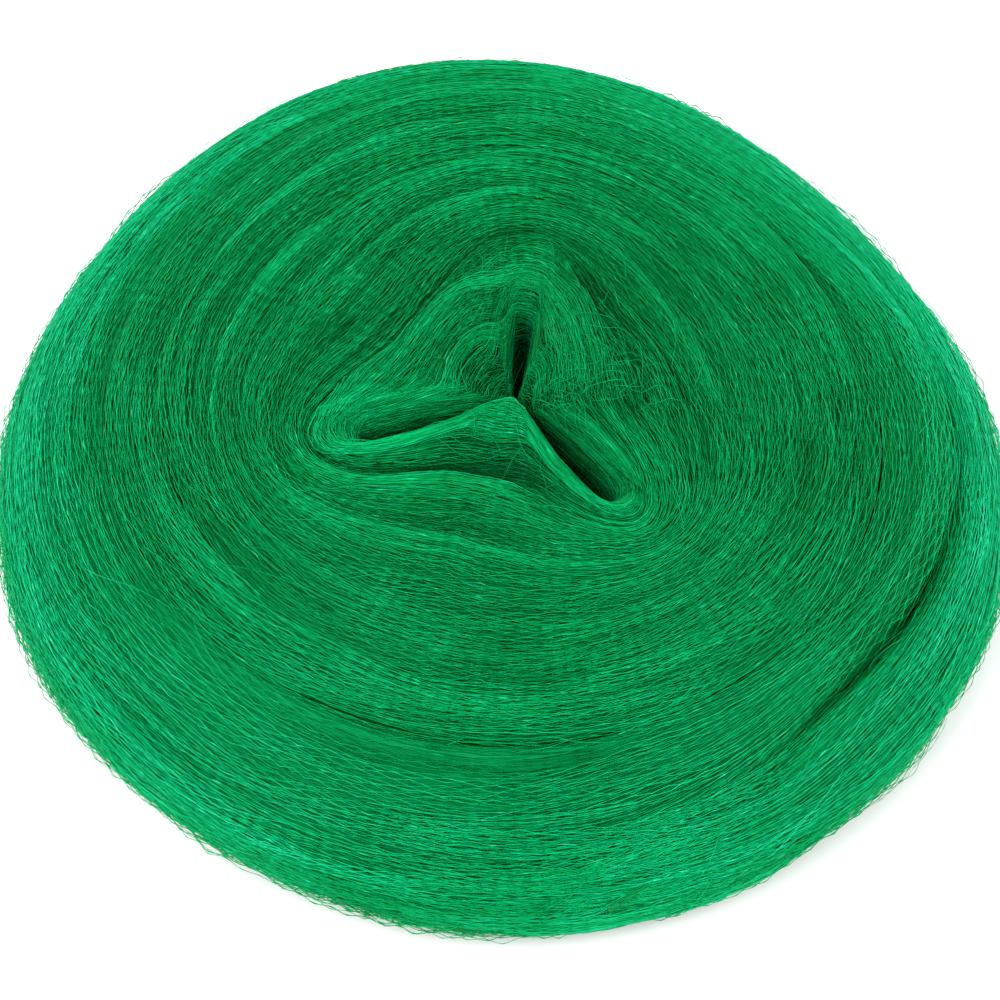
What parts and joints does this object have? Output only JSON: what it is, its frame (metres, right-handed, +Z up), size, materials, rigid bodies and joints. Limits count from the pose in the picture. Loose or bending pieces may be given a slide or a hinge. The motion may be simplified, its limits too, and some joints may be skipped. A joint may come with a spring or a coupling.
{
  "type": "fishing net coil",
  "caption": "Low domed coil of gathered diamond-mesh fishing net, wound lap by lap round a three-pocket heart, with a loose outer end that peels away.",
  "frame": {"origin": "under the middle of the coil's box, on its resting face", "axes": "+Z up from the resting face; -Y towards the viewer of the usual three-quarter view, +X to its right"},
  "size_m": [0.3948, 0.414, 0.0794],
  "materials": {
    "net_heart": "collapsed diamond mesh of green nylon monofilament, satin, shaded deep between the strands",
    "net_inner": "collapsed diamond mesh of green nylon monofilament, satin with fine glints",
    "net_rim": "collapsed diamond mesh of green nylon monofilament, satin, lighter where light comes through the strands"
  },
  "bodies": {
    "coil": {"fourth_turn": "net_inner", "fifth_turn": "net_inner", "outer_turn": "net_rim"},
    "third_lap": {"third_turn": "net_inner"},
    "second_lap": {"second_turn": "net_inner"},
    "heart": {"heart_turn": "net_heart"},
    "tail_root": {"tail_root": "net_rim"},
    "tail_second": {"tail_second": "net_rim"},
    "tail_third": {"tail_third": "net_rim"},
    "tail_fourth": {"tail_fourth": "net_rim"},
    "tail_fifth": {"tail_fifth": "net_rim"},
    "tail_tip": {"tail_tip": "net_rim"}
  },
  "joints": [
    {"name": "centre_pull", "type": "slide", "parent": "coil", "child": "third_lap", "axis": [0, 0, 1], "range_m": [0, 0.025]},
    {"name": "second_lap_rise", "type": "slide", "parent": "third_lap", "child": "second_lap", "axis": [0, 0, 1], "range_m": [0, 0.025]},
    {"name": "heart_rise", "type": "slide", "parent": "second_lap", "child": "heart", "axis": [0, 0, 1], "range_m": [0, 0.025]},
    {"name": "tail_peel", "type": "hinge", "parent": "coil", "child": "tail_root", "pos_m": [-0.02844, 0.20576, 0.023], "axis": [0, 0, 1], "range_deg": [0, 20]},
    {"name": "tail_bend_second", "type": "hinge", "parent": "tail_root", "child": "tail_second", "pos_m": [0.07868, 0.18135, 0.023], "axis": [0, 0, 1], "range_deg": [0, 20]},
    {"name": "tail_bend_third", "type": "hinge", "parent": "tail_second", "child": "tail_third", "pos_m": [0.1514, 0.10901, 0.023], "axis": [0, 0, 1], "range_deg": [0, 20]},
    {"name": "tail_bend_fourth", "type": "hinge", "parent": "tail_third", "child": "tail_fourth", "pos_m": [0.19257, 0.02055, 0.023], "axis": [0, 0, 1], "range_deg": [0, 20]},
    {"name": "tail_bend_fifth", "type": "hinge", "parent": "tail_fourth", "child": "tail_fifth", "pos_m": [0.18771, -0.07898, 0.023], "axis": [0, 0, 1], "range_deg": [0, 20]},
    {"name": "tail_bend_tip", "type": "hinge", "parent": "tail_fifth", "child": "tail_tip", "pos_m": [0.12949, -0.16207, 0.023], "axis": [0, 0, 1], "range_deg": [0, 20]}
  ],
  "couplings": [
    {"joint": "second_lap_rise", "follows": "centre_pull", "ratio": 1},
    {"joint": "heart_rise", "follows": "centre_pull", "ratio": 1},
    {"joint": "tail_bend_second", "follows": "tail_peel", "ratio": 1},
    {"joint": "tail_bend_third", "follows": "tail_peel", "ratio": 1},
    {"joint": "tail_bend_fourth", "follows": "tail_peel", "ratio": 1},
    {"joint": "tail_bend_fifth", "follows": "tail_peel", "ratio": 1},
    {"joint": "tail_bend_tip", "follows": "tail_peel", "ratio": 1}
  ]
}
